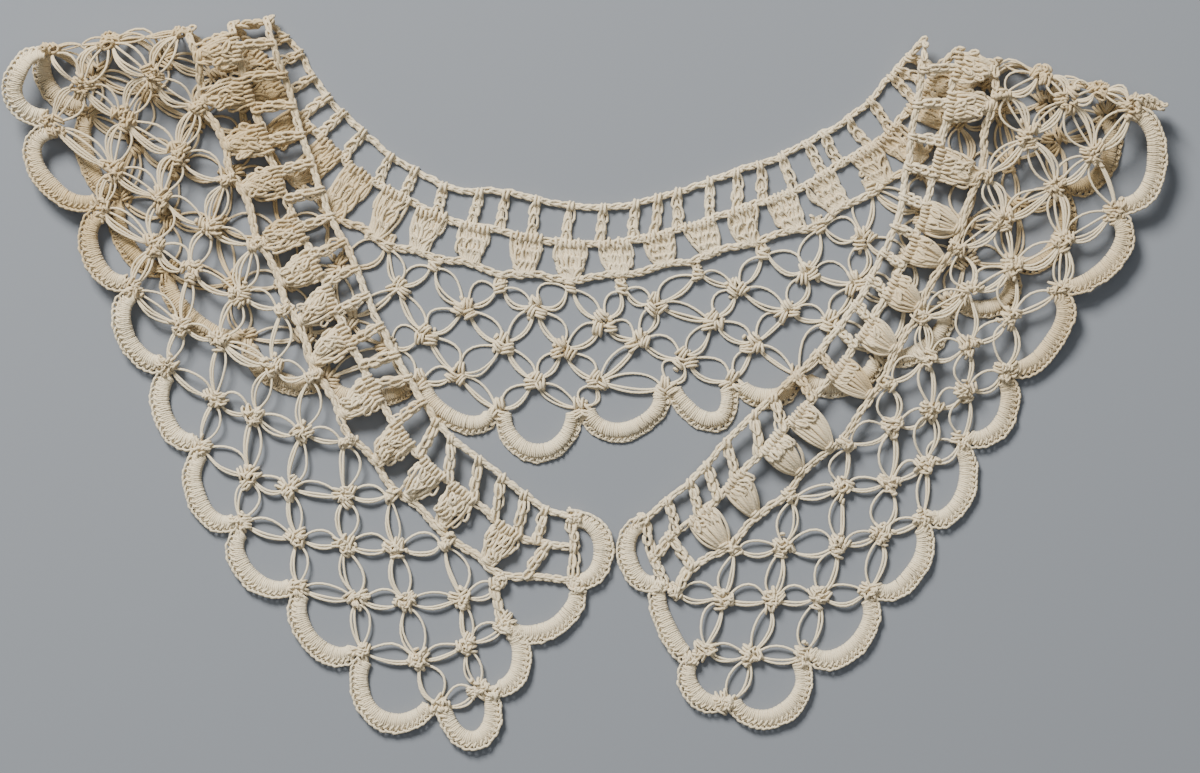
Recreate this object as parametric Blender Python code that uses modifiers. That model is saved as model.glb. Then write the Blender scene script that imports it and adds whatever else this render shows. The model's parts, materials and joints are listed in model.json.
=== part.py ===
"""Crochet lace collar, folded over at both shoulders and lying flat.

The collar is one curved band of cotton lace: a neck chain, a round of bars, a round of fans,
a knotted net and a scalloped edging.  It lies on its back, and both fronts are folded over it.
The left and right fronts, each with its own shoulder fold, and the back are separate pieces,
about 0.3 mm apart at the seams.  +Z is up, and +Y points from the tips to the shoulder folds.
"""
import math
from collections import namedtuple

import bmesh
import bpy
from mathutils import Vector

MM = 0.001

# Thickness of the lace and radius of the neck chain.
WALL = 1.5 * MM
CHAIN_RADIUS = 0.75 * MM

# How far apart the middles of two walls end at a seam, and how many columns along from the
# seam the direction of that gap is measured.
SEAM = 0.6 * MM
SEAM_PROBE = 0.1

# Scalloped edging: half its width, its distance from the net, how deep the notch between two
# scallops reaches, the share of a scallop's chord that one foot takes up, and the share of a
# column that a foot stands back from a seam.
EDGING_HALF_WIDTH = 2.0 * MM
EDGING_GAP = 0.5 * MM
NOTCH_DEPTH = 2.2 * MM
FOOT_SHARE = 0.13
SCALLOP_STEPS = 7
SEAM_FOOT = 0.05

# Rounds, as fractions of the way from the neck edge (0) to the net's last row of knots (1).
# The net steps back by its notch between two joints, and stops short of the fronts' tips.
BARS_START, BARS_END = 0.028, 0.153
FANS_START, FANS_END = 0.165, 0.352
NET_START = 0.364
NET_NOTCH = 0.14
NET_TIP = 0.95

# Share of a section over which the front comes down past the edge of the back.
DROP_SHARE = 0.26

# The collar's sections, one for each column of the net, in millimetres.  The columns run from
# the left front's tip over both shoulder folds to the right front's tip.  rise is the height
# of the lace above where it lies flat, over is the fraction of the section that lies on the
# back, and bulge is the reach of the scallop that starts at the section.
Section = namedtuple(
    "Section", "column neck_x neck_y rim_x rim_y rise_neck rise_rim over bulge")
SECTIONS = [Section(*row) for row in (
    # left front
    (-1.00, -3.0, -28.5, 0.0, -67.0, 0.0, 0.0, 0.00, 8.2),
    (0.00, -10.0, -25.5, -31.5, -69.0, 0.0, 0.0, 0.00, 8.2),
    (1.00, -20.0, -17.5, -47.5, -58.0, 1.2, 1.2, 0.08, 6.0),
    (2.00, -30.0, -9.5, -60.5, -44.0, 2.2, 2.2, 0.14, 6.0),
    (3.00, -37.5, 1.5, -73.0, -30.5, 2.2, 2.2, 0.32, 5.8),
    (4.00, -44.0, 13.5, -81.5, -13.5, 2.2, 2.2, 0.60, 5.2),
    (5.00, -49.5, 26.5, -88.5, 3.5, 2.2, 2.2, 0.88, 5.6),
    (6.00, -55.0, 38.0, -96.0, 20.5, 2.2, 2.2, 1.15, 5.8),
    (7.00, -59.5, 50.0, -103.0, 37.5, 2.6, 2.4, 1.40, 8.0),
    (8.00, -63.5, 63.5, -114.0, 56.0, 3.6, 3.2, 1.40, 7.7),
    # left shoulder fold
    (8.70, -66.5, 73.5, -114.5, 67.5, 6.6, 6.6, 1.40, 7.7),
    (9.00, -68.0, 78.0, -114.5, 72.0, 3.6, 3.6, 1.40, 5.0),
    (9.30, -66.0, 76.5, -112.5, 68.0, 0.6, 0.6, 1.40, 5.0),
    # back
    (10.00, -61.5, 72.0, -107.0, 58.5, 0.0, 0.0, 0.00, 4.0),
    (11.00, -57.0, 64.0, -100.0, 40.5, 0.0, 0.0, 0.00, 4.0),
    (12.00, -50.5, 57.5, -90.0, 24.5, 0.0, 0.0, 0.00, 4.0),
    (13.00, -44.0, 51.0, -73.0, 10.5, 0.0, 0.0, 0.00, 4.5),
    (14.00, -36.5, 46.5, -55.5, 1.5, 0.0, 0.0, 0.00, 4.5),
    (15.00, -28.5, 42.5, -37.0, 1.0, 0.0, 0.0, 0.00, 5.6),
    (16.00, -17.0, 41.5, -20.0, -5.5, 0.0, 0.0, 0.00, 8.8),
    (17.00, -4.5, 39.0, -2.0, -5.0, 0.0, 0.0, 0.00, 7.1),
    (18.00, 6.5, 38.5, 16.5, -0.5, 0.0, 0.0, 0.00, 8.6),
    (19.00, 19.0, 41.5, 32.0, 0.5, 0.0, 0.0, 0.00, 4.3),
    (20.00, 32.5, 46.0, 46.0, 2.0, 0.0, 0.0, 0.00, 4.5),
    (21.00, 42.5, 49.5, 63.5, 7.0, 0.0, 0.0, 0.00, 5.0),
    (22.00, 51.0, 54.0, 78.5, 18.0, 0.0, 0.0, 0.00, 6.0),
    (23.00, 59.0, 59.0, 92.0, 26.0, 0.0, 0.0, 0.00, 5.5),
    (24.00, 65.5, 66.0, 103.0, 42.0, 0.0, 0.0, 0.00, 6.0),
    # right shoulder fold
    (25.00, 69.0, 70.0, 112.0, 58.5, 0.4, 0.4, 1.40, 5.5),
    (25.35, 72.5, 73.5, 117.0, 61.5, 3.6, 3.6, 1.40, 5.5),
    (25.60, 72.0, 70.0, 117.0, 60.5, 6.0, 5.8, 1.40, 5.5),
    # right front
    (26.00, 71.0, 63.5, 116.5, 59.5, 4.8, 6.4, 1.40, 6.9),
    (27.00, 68.0, 50.0, 114.0, 37.5, 3.0, 2.8, 1.20, 5.6),
    (28.00, 65.5, 36.0, 102.5, 20.5, 2.2, 2.2, 1.10, 5.4),
    (29.00, 59.5, 23.0, 91.0, 3.0, 2.2, 2.2, 0.90, 5.6),
    (30.00, 51.5, 11.5, 82.0, -12.0, 2.2, 2.2, 0.60, 5.6),
    (31.00, 41.5, 1.0, 73.5, -29.0, 2.2, 2.2, 0.34, 5.2),
    (32.00, 32.0, -9.0, 62.0, -44.5, 2.2, 2.2, 0.14, 6.2),
    (33.00, 22.5, -20.0, 47.5, -58.0, 1.2, 1.2, 0.08, 8.4),
    (34.00, 12.0, -29.5, 30.5, -68.5, 0.0, 0.0, 0.00, 8.4),
)]

# Scallops along the short end of each front, from the neck edge to the tip, in millimetres.
EndScallop = namedtuple("EndScallop", "from_x from_y to_x to_y bulge")
LEFT_END = [EndScallop(*row) for row in (
    (-2.2, -28.0, -1.5, -43.2, 5.6),
    (-1.5, -43.2, -16.0, -52.5, 5.6),
    (-16.0, -52.5, -19.5, -66.0, 4.8),
    (-19.5, -66.0, -31.5, -69.0, 9.4),
)]
RIGHT_END = [EndScallop(*row) for row in (
    (30.5, -68.5, 23.0, -58.5, 4.5),
    (23.0, -58.5, 16.0, -45.0, 2.4),
    (16.0, -45.0, 12.2, -29.0, 5.2),
)]

# Where the net's slanting end on the left front meets each fraction of the way to the rim.
NetEnd = namedtuple("NetEnd", "fraction column")
LEFT_NET_END = [NetEnd(*row) for row in (
    (0.36, -0.97), (0.60, -0.33), (0.90, -0.24), (1.00, 0.0),
)]

# Middle of the collar's outline in the coordinates of these tables.  It becomes the origin.
OUTLINE_MIDDLE = (0.2, 0.0)

# The three stretches of the collar, and the columns that they run between.
LEFT_TIP, LEFT_SEAM, RIGHT_SEAM, RIGHT_TIP = -1.0, 10.0, 25.0, 34.0
Stretch = namedtuple("Stretch", "name start stop")
STRETCHES = [
    Stretch("left_front", LEFT_TIP, LEFT_SEAM),
    Stretch("back", LEFT_SEAM, RIGHT_SEAM),
    Stretch("right_front", RIGHT_SEAM, RIGHT_TIP),
]

# Steps along the collar: coarse where it lies flat, fine around the two folds.
FLAT_STEP = 1 / 3
FOLD_STEP = 1 / 9
FOLD_ZONES = [(8.0, 10.0), (25.0, 26.4)]
NET_ROWS = 3

Finish = namedtuple("Finish", "name color roughness")
CHAIN_COTTON = Finish("chain_cotton", (0.70, 0.62, 0.48, 1.0), 0.85)
BAR_COTTON = Finish("bar_cotton", (0.68, 0.60, 0.46, 1.0), 0.85)
FAN_COTTON = Finish("fan_cotton", (0.66, 0.57, 0.43, 1.0), 0.85)
NET_COTTON = Finish("net_cotton", (0.72, 0.65, 0.53, 1.0), 0.85)
EDGING_COTTON = Finish("edging_cotton", (0.69, 0.62, 0.49, 1.0), 0.85)


def section_at(column):
    """Values of the section table at a column, on a smooth curve through its rows."""
    rows = SECTIONS
    last = len(rows) - 2
    index = max(0, min(last, sum(row.column <= column for row in rows) - 1))
    before = rows[max(index - 1, 0)]
    here, there = rows[index], rows[index + 1]
    after = rows[min(index + 2, last + 1)]
    span = there.column - here.column
    t = (column - here.column) / span
    values = []
    for a, b, c, d in zip(before, here, there, after):
        slope_b = (c - a) / (there.column - before.column) * span
        slope_c = (d - b) / (after.column - here.column) * span
        values.append(
            (2 * t ** 3 - 3 * t ** 2 + 1) * b + (t ** 3 - 2 * t ** 2 + t) * slope_b
            + (3 * t ** 2 - 2 * t ** 3) * c + (t ** 3 - t ** 2) * slope_c)
    return Section(*values)


def section_length(column):
    """Distance from the neck edge to the rim along a section, in metres."""
    row = section_at(column)
    return math.hypot(row.rim_x - row.neck_x, row.rim_y - row.neck_y) * MM


def placed(x, y, rise):
    """Point in metres, from the tables' millimetres and a rise above the flat-lying lace."""
    middle_x, middle_y = OUTLINE_MIDDLE
    return Vector(((x - middle_x) * MM, (y - middle_y) * MM, rise * MM + WALL / 2))


def lace_point(column, fraction):
    """Point in the middle of the lace, at a column and a fraction of the way to the rim."""
    row = section_at(column)
    x = row.neck_x + (row.rim_x - row.neck_x) * fraction
    y = row.neck_y + (row.rim_y - row.neck_y) * fraction
    rise = row.rise_neck + (row.rise_rim - row.rise_neck) * min(fraction, 1.0)
    down = max(0.0, min(1.0, (fraction - row.over) / DROP_SHARE))
    return placed(x, y, max(0.0, rise * (1 - down * down * (3 - 2 * down))))


def stations(stretch):
    """Columns at which a stretch is sampled, finer around the folds."""
    columns = [stretch.start]
    while columns[-1] < stretch.stop - 1e-6:
        here = columns[-1]
        in_fold = any(low - 1e-6 <= here < high - 1e-6 for low, high in FOLD_ZONES)
        step = FOLD_STEP if in_fold else FLAT_STEP
        following = (math.floor(here / step + 1e-3) + 1) * step
        columns.append(min(following, stretch.stop))
    return columns


def lace_row(stretch, column, fractions):
    """Points across the lace at one station, set back by half a gap where it is on a seam."""
    inward = 0.0
    if column in (LEFT_SEAM, RIGHT_SEAM):
        inward = SEAM_PROBE if column == stretch.start else -SEAM_PROBE
    points = []
    for fraction in fractions:
        point = lace_point(column, fraction)
        toward = lace_point(column + inward, fraction) - point
        points.append(point + toward.normalized() * SEAM / 2)
    return points


def collection(name):
    group = bpy.data.collections.new(name)
    bpy.context.scene.collection.children.link(group)
    return group


def material(finish):
    made = bpy.data.materials.get(finish.name)
    if made:
        return made
    made = bpy.data.materials.new(finish.name)
    made.use_nodes = True
    shader = made.node_tree.nodes["Principled BSDF"]
    shader.inputs["Base Color"].default_value = finish.color
    shader.inputs["Roughness"].default_value = finish.roughness
    shader.inputs["Metallic"].default_value = 0.0
    return made


def wall_object(name, rows, finish, group):
    """A wall of lace: a grid of points, as rows of equal length, with its thickness added."""
    grid = bmesh.new()
    vertices = [[grid.verts.new(point) for point in row] for row in rows]
    for low, high in zip(vertices, vertices[1:]):
        for a, b, c, d in zip(low, low[1:], high[1:], high):
            grid.faces.new((a, b, c, d))
    bmesh.ops.remove_doubles(grid, verts=grid.verts, dist=1e-6)
    bmesh.ops.recalc_face_normals(grid, faces=grid.faces)
    mesh = bpy.data.meshes.new(name)
    grid.to_mesh(mesh)
    grid.free()
    mesh.shade_smooth()
    mesh.materials.append(material(finish))
    wall = bpy.data.objects.new(name, mesh)
    group.objects.link(wall)
    thickness = wall.modifiers.new("Lace thickness", "SOLIDIFY")
    thickness.thickness = WALL
    thickness.offset = 0.0
    return wall


def neck_chain(stretch, group):
    """The round cord of chain stitches along the neck edge."""
    name = f"neck_chain_{stretch.name}"
    curve = bpy.data.curves.new(name, "CURVE")
    curve.dimensions = "3D"
    curve.bevel_depth = CHAIN_RADIUS
    curve.bevel_resolution = 2
    curve.use_fill_caps = True
    points = [lace_row(stretch, column, [0.0])[0] for column in stations(stretch)]
    spline = curve.splines.new("POLY")
    spline.points.add(len(points) - 1)
    for knot, point in zip(spline.points, points):
        knot.co = (*point, 1.0)
    curve.materials.append(material(CHAIN_COTTON))
    chain = bpy.data.objects.new(name, curve)
    group.objects.link(chain)
    return chain


def openwork_round(name, stretch, low, high, finish, group):
    """The wall of one round of crochet, between two fractions of the way to the rim."""
    fractions = (low, (low + high) / 2, high)
    rows = [lace_row(stretch, column, fractions) for column in stations(stretch)]
    return wall_object(f"{name}_{stretch.name}", rows, finish, group)


def net_end_column(fraction):
    """Column at which the left front's net ends, at a fraction of the way to the rim."""
    rows = LEFT_NET_END
    index = max(0, min(len(rows) - 2, sum(row.fraction <= fraction for row in rows) - 1))
    here, there = rows[index], rows[index + 1]
    share = (fraction - here.fraction) / (there.fraction - here.fraction)
    return here.column + (there.column - here.column) * max(0.0, min(1.0, share))


def net_rim(column):
    """Fraction at which the net ends: it reaches each joint and steps back between them."""
    if column <= 0 or column == RIGHT_TIP:
        return NET_TIP
    return 1.0 - NET_NOTCH * 2 * abs(column - round(column))


def knot_net(stretch, group):
    """The wall of the net of one stretch."""
    rows = []
    for column in stations(stretch):
        rim = net_rim(column)
        fractions = [NET_START + (rim - NET_START) * row / NET_ROWS for row in range(NET_ROWS + 1)]
        if column < 0:
            rows.append([lace_point(-column * net_end_column(f), f) for f in fractions])
        else:
            rows.append(lace_row(stretch, column, fractions))
    return wall_object(f"knot_net_{stretch.name}", rows, NET_COTTON, group)


def scallop_edges(bulge):
    """Inner and outer edge of a scallop, as shares of its chord and distances out from it."""
    for step in range(SCALLOP_STEPS + 1):
        angle = math.pi * step / SCALLOP_STEPS
        along = (1 - math.cos(angle)) / 2
        inner_deepest = max(EDGING_GAP, bulge - EDGING_HALF_WIDTH)
        inner = EDGING_GAP + (inner_deepest - EDGING_GAP) * math.sin(angle)
        outer = NOTCH_DEPTH + (bulge + EDGING_HALF_WIDTH - NOTCH_DEPTH) * math.sin(angle)
        yield FOOT_SHARE + (1 - 2 * FOOT_SHARE) * along, inner, along, outer


def rim_scallop(column):
    """Pairs of inner and outer edge points of the scallop that starts at a net column."""
    bulge = next(row.bulge for row in SECTIONS if row.column == column) * MM
    start = column + (SEAM_FOOT if column in (LEFT_SEAM, RIGHT_SEAM) else 0.0)
    stop = column + 1 - (SEAM_FOOT if column + 1 in (LEFT_SEAM, RIGHT_SEAM) else 0.0)
    pairs = []
    for inner_along, inner, outer_along, outer in scallop_edges(bulge):
        inner_column = start + (stop - start) * inner_along
        outer_column = start + (stop - start) * outer_along
        pairs.append((
            lace_point(inner_column, 1 + inner / section_length(inner_column)),
            lace_point(outer_column, 1 + outer / section_length(outer_column))))
    return pairs


def end_scallop(row):
    """Pairs of inner and outer edge points of a scallop along a front's short end."""
    start = placed(row.from_x, row.from_y, 0.0)
    chord = placed(row.to_x, row.to_y, 0.0) - start
    outward = Vector((-chord.y, chord.x, 0.0)).normalized()
    return [
        (start + chord * inner_along + outward * inner, start + chord * outer_along + outward * outer)
        for inner_along, inner, outer_along, outer in scallop_edges(row.bulge * MM)]


def scalloped_edging(stretch, group):
    """A ribbon of scallops, which share the bottom of each notch between them."""
    first = max(0, int(stretch.start))
    scallops = [rim_scallop(column) for column in range(first, int(stretch.stop))]
    if stretch.start == LEFT_TIP:
        scallops = [end_scallop(row) for row in LEFT_END] + scallops
    if stretch.stop == RIGHT_TIP:
        scallops += [end_scallop(row) for row in RIGHT_END]
    for left, right in zip(scallops, scallops[1:]):
        notch = (left[-1][1] + right[0][1]) / 2
        left[-1] = (left[-1][0], notch)
        right[0] = (right[0][0], notch)
    pairs = [pair for scallop in scallops for pair in scallop]
    return wall_object(f"scallop_edging_{stretch.name}", pairs, EDGING_COTTON, group)


def clear_scene():
    for old in list(bpy.data.objects):
        bpy.data.objects.remove(old, do_unlink=True)


def build():
    clear_scene()
    group = collection("lace_collar")
    for stretch in STRETCHES:
        neck_chain(stretch, group)
        openwork_round("bar_round", stretch, BARS_START, BARS_END, BAR_COTTON, group)
        openwork_round("fan_round", stretch, FANS_START, FANS_END, FAN_COTTON, group)
        knot_net(stretch, group)
        scalloped_edging(stretch, group)


build()
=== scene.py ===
"""Crochet lace collar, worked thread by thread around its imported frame.

The collar is one band of cotton lace, folded at both shoulders: a neck chain, a round of bars,
a round of fans, a net of Solomon's knots and a scalloped edging.  A plan gives every stitch its
column along the collar and its fraction of the way from the neck edge to the net's rim.
Geometry Nodes set a small curve for each stitch on that plan, lay the curves on the collar's
form and turn them into thread.
"""
import json
import math
from collections import namedtuple

import bmesh
import bpy
import numpy as np
from mathutils import Matrix, Vector
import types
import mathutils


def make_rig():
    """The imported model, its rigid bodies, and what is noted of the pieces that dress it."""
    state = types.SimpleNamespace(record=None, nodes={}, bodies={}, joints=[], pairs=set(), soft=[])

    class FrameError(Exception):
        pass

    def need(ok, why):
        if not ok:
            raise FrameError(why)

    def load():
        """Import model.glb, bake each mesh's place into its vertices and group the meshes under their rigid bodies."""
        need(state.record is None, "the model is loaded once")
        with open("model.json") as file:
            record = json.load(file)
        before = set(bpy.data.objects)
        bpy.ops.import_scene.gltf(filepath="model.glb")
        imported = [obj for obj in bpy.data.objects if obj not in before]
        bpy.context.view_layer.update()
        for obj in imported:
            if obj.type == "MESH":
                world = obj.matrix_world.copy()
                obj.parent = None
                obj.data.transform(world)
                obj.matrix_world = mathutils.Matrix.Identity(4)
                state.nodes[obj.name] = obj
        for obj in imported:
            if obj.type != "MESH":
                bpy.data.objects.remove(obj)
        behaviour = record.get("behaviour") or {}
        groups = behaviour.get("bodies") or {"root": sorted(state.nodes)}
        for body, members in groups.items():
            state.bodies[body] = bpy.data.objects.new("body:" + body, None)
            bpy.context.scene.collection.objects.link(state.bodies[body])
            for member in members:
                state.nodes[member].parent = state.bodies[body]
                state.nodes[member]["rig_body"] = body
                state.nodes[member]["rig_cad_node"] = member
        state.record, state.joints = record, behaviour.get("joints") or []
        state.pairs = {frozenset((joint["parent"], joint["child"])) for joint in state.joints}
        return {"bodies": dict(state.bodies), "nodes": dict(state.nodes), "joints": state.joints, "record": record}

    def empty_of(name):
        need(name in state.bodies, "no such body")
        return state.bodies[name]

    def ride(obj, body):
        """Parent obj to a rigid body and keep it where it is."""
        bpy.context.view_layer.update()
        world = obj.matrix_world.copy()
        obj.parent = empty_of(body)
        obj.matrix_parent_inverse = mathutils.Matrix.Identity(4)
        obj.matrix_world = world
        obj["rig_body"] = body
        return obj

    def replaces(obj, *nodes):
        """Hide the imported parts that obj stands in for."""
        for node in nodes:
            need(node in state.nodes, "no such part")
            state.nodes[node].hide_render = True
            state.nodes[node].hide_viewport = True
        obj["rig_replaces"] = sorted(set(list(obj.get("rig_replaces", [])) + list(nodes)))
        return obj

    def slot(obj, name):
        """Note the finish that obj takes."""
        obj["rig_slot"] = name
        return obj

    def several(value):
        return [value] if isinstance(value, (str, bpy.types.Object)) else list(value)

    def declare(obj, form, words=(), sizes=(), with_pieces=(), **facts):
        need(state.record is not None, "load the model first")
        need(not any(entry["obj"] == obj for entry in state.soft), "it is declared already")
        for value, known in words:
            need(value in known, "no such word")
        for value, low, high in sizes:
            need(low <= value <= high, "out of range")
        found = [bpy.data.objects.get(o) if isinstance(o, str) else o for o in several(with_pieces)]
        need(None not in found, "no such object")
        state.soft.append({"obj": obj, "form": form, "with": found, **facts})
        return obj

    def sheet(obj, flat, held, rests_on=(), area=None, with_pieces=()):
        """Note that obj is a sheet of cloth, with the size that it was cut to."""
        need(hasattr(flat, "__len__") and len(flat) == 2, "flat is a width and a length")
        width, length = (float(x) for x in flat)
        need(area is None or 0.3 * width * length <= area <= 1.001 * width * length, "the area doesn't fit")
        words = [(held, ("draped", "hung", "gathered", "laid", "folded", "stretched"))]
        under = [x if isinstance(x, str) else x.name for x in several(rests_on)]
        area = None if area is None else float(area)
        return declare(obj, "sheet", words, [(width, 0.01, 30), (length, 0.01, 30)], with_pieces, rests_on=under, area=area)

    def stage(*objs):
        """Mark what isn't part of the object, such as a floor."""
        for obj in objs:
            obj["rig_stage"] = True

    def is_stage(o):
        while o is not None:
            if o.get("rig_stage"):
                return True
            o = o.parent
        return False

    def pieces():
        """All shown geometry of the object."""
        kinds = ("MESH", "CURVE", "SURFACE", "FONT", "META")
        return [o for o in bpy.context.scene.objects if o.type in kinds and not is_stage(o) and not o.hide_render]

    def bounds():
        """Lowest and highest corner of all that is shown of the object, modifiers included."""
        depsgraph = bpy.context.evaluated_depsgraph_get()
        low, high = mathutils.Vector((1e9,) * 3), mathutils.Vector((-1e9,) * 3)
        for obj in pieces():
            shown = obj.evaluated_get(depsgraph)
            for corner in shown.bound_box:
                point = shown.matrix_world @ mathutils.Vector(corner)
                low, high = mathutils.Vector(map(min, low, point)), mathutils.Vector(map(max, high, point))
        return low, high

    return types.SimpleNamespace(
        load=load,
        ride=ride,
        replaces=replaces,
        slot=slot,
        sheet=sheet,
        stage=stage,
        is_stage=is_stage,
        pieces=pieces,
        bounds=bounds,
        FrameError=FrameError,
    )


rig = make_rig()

bl_info = {
    "name": "Crochet Lace Collar",
    "version": (1, 0, 0),
    "blender": (4, 5, 0),
    "location": "View3D > Sidebar > Collar",
    "description": "Works a folded crochet lace collar, stitch by stitch",
    "category": "Object",
}

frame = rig.load()
cad_low, cad_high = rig.bounds()

MM = 0.001
SIZE_FILE = "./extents.json"


def table(fields, rows):
    """Rows of values with named fields."""
    row_type = namedtuple("Row", fields)
    return [row_type(*row) for row in rows]


# ---- The collar's form ----

# Lengths in the plan are in millimetres.
HALF_WALL = 0.75
OUTLINE_MIDDLE = (0.2, 0.0)
DROP_SHARE = 0.26  # of the way to the rim, in which the lace comes down from what it lies on
LEFT_TIP, LEFT_SEAM, RIGHT_SEAM, RIGHT_TIP = -1.0, 10.0, 25.0, 34.0

# Sections of the collar, one for each column of the net and more at the folds.  rise is the
# height above where the lace lies flat, over is the fraction that lies on the back, and bulge
# is the reach of the scallop that starts at the section.
SECTIONS = table("column neck_x neck_y rim_x rim_y rise_neck rise_rim over bulge", (
    # left front
    (-1.00, -3.0, -28.5, 0.0, -67.0, 0.0, 0.0, 0.00, 8.2),
    (0.00, -10.0, -25.5, -31.5, -69.0, 0.0, 0.0, 0.00, 8.2),
    (1.00, -20.0, -17.5, -48.2, -57.6, 1.2, 1.2, 0.08, 6.0),
    (2.00, -30.0, -9.5, -61.6, -43.5, 2.2, 2.2, 0.14, 6.0),
    (3.00, -37.5, 1.5, -74.2, -30.0, 2.2, 2.2, 0.32, 5.8),
    (4.00, -44.0, 13.5, -82.7, -13.0, 2.2, 2.2, 0.60, 5.2),
    (5.00, -49.5, 26.5, -89.7, 4.0, 2.2, 2.2, 0.88, 5.6),
    (6.00, -55.0, 38.0, -97.2, 21.0, 2.2, 2.2, 1.15, 5.8),
    (7.00, -59.5, 50.0, -104.0, 38.0, 2.6, 2.4, 1.40, 8.0),
    (8.00, -63.5, 63.5, -114.0, 56.0, 3.6, 3.2, 1.40, 7.7),
    # left shoulder fold
    (8.70, -66.5, 73.5, -114.5, 67.5, 6.6, 6.6, 1.40, 7.7),
    (9.00, -68.0, 78.0, -114.5, 72.0, 3.6, 3.6, 1.40, 5.0),
    (9.30, -66.0, 76.5, -112.5, 68.0, 0.6, 0.6, 1.40, 5.0),
    # back
    (10.00, -61.5, 72.0, -107.0, 58.5, 0.0, 0.0, 0.00, 4.0),
    (11.00, -57.0, 64.0, -100.0, 40.5, 0.0, 0.0, 0.00, 4.0),
    (12.00, -50.5, 57.5, -90.0, 24.5, 0.0, 0.0, 0.00, 4.0),
    (13.00, -44.0, 51.0, -73.0, 10.5, 0.0, 0.0, 0.00, 4.5),
    (14.00, -36.5, 46.5, -55.5, 1.5, 0.0, 0.0, 0.00, 4.5),
    (15.00, -28.5, 42.5, -36.0, 1.0, 0.0, 0.0, 0.00, 5.6),
    (16.00, -17.0, 41.5, -18.8, -5.5, 0.0, 0.0, 0.00, 8.8),
    (17.00, -4.5, 39.0, -0.8, -5.0, 0.0, 0.0, 0.00, 7.1),
    (18.00, 6.5, 38.5, 17.5, -0.5, 0.0, 0.0, 0.00, 8.6),
    (19.00, 19.0, 41.5, 32.0, 0.5, 0.0, 0.0, 0.00, 4.3),
    (20.00, 32.5, 46.0, 46.0, 2.0, 0.0, 0.0, 0.00, 4.5),
    (21.00, 42.5, 49.5, 63.5, 7.0, 0.0, 0.0, 0.00, 5.0),
    (22.00, 51.0, 54.0, 78.5, 18.0, 0.0, 0.0, 0.00, 6.0),
    (23.00, 59.0, 59.0, 92.0, 26.0, 0.0, 0.0, 0.00, 5.5),
    (24.00, 65.5, 66.0, 103.0, 42.0, 0.0, 0.0, 0.00, 6.0),
    # right shoulder fold
    (25.00, 69.0, 70.0, 112.0, 58.5, 0.4, 0.4, 1.40, 5.5),
    (25.35, 72.5, 73.5, 117.0, 61.5, 3.6, 3.6, 1.40, 5.5),
    (25.60, 72.0, 70.0, 117.0, 60.5, 6.0, 5.8, 1.40, 5.5),
    # right front
    (26.00, 71.0, 63.5, 116.5, 59.5, 4.8, 6.4, 1.40, 6.9),
    (27.00, 68.0, 50.0, 114.0, 37.5, 3.0, 2.8, 1.20, 5.6),
    (28.00, 65.5, 36.0, 102.1, 20.5, 2.2, 2.2, 1.10, 5.4),
    (29.00, 59.5, 23.0, 90.5, 3.0, 2.2, 2.2, 0.90, 5.6),
    (30.00, 51.5, 11.5, 81.5, -12.0, 2.2, 2.2, 0.60, 5.6),
    (31.00, 41.5, 1.0, 73.0, -29.0, 2.2, 2.2, 0.34, 5.2),
    (32.00, 32.0, -9.0, 61.5, -44.5, 2.2, 2.2, 0.14, 6.2),
    (33.00, 22.5, -20.0, 47.1, -58.0, 1.2, 1.2, 0.08, 8.4),
    (34.00, 12.0, -29.5, 30.5, -68.5, 0.0, 0.0, 0.00, 8.4),
))

# Scallops along the short end of each front, from one joint to the next.
END_SCALLOPS = table("from_x from_y to_x to_y bulge column", (
    (-2.2, -28.0, -1.5, -43.2, 6.2, LEFT_TIP),
    (-1.5, -43.2, -17.0, -52.0, 5.4, LEFT_TIP),
    (-17.0, -52.0, -19.5, -66.0, 4.8, LEFT_TIP),
    (-19.5, -66.0, -31.5, -69.0, 9.4, LEFT_TIP),
    (30.5, -68.5, 23.0, -58.5, 4.5, RIGHT_TIP),
    (23.0, -58.5, 16.0, -43.4, 2.4, RIGHT_TIP),
    (16.0, -43.4, 12.2, -29.0, 5.2, RIGHT_TIP),
))

STRETCHES = table("name start stop held rests_on", (
    ("left_front", -math.inf, LEFT_SEAM, "folded", ["net_back"]),
    ("back", LEFT_SEAM, RIGHT_SEAM, "laid", []),
    ("right_front", RIGHT_SEAM, math.inf, "folded", ["net_back"]),
))


def section_at(column):
    """Values of the section table at a column, on a smooth curve through its rows."""
    rows = SECTIONS
    last = len(rows) - 2
    index = max(0, min(last, sum(row.column <= column for row in rows) - 1))
    before = rows[max(index - 1, 0)]
    here, there = rows[index], rows[index + 1]
    after = rows[min(index + 2, last + 1)]
    span = there.column - here.column
    t = (column - here.column) / span
    values = []
    for a, b, c, d in zip(before, here, there, after):
        slope_b = (c - a) / (there.column - before.column) * span
        slope_c = (d - b) / (after.column - here.column) * span
        if t < 0:
            values.append(b + t * slope_b)
        elif t > 1:
            values.append(c + (t - 1) * slope_c)
        else:
            values.append(
                (2 * t ** 3 - 3 * t ** 2 + 1) * b + (t ** 3 - 2 * t ** 2 + t) * slope_b
                + (3 * t ** 2 - 2 * t ** 3) * c + (t ** 3 - t ** 2) * slope_c)
    return here._make(values)


def point_on(row, fraction):
    """Point in millimetres in the middle of the lace, on a section."""
    x = row.neck_x + (row.rim_x - row.neck_x) * fraction - OUTLINE_MIDDLE[0]
    y = row.neck_y + (row.rim_y - row.neck_y) * fraction - OUTLINE_MIDDLE[1]
    rise = row.rise_neck + (row.rise_rim - row.rise_neck) * max(0.0, min(fraction, 1.0))
    down = max(0.0, min(1.0, (fraction - row.over) / DROP_SHARE))
    return Vector((x, y, max(0.0, rise * (1 - down * down * (3 - 2 * down))) + HALF_WALL))


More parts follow.
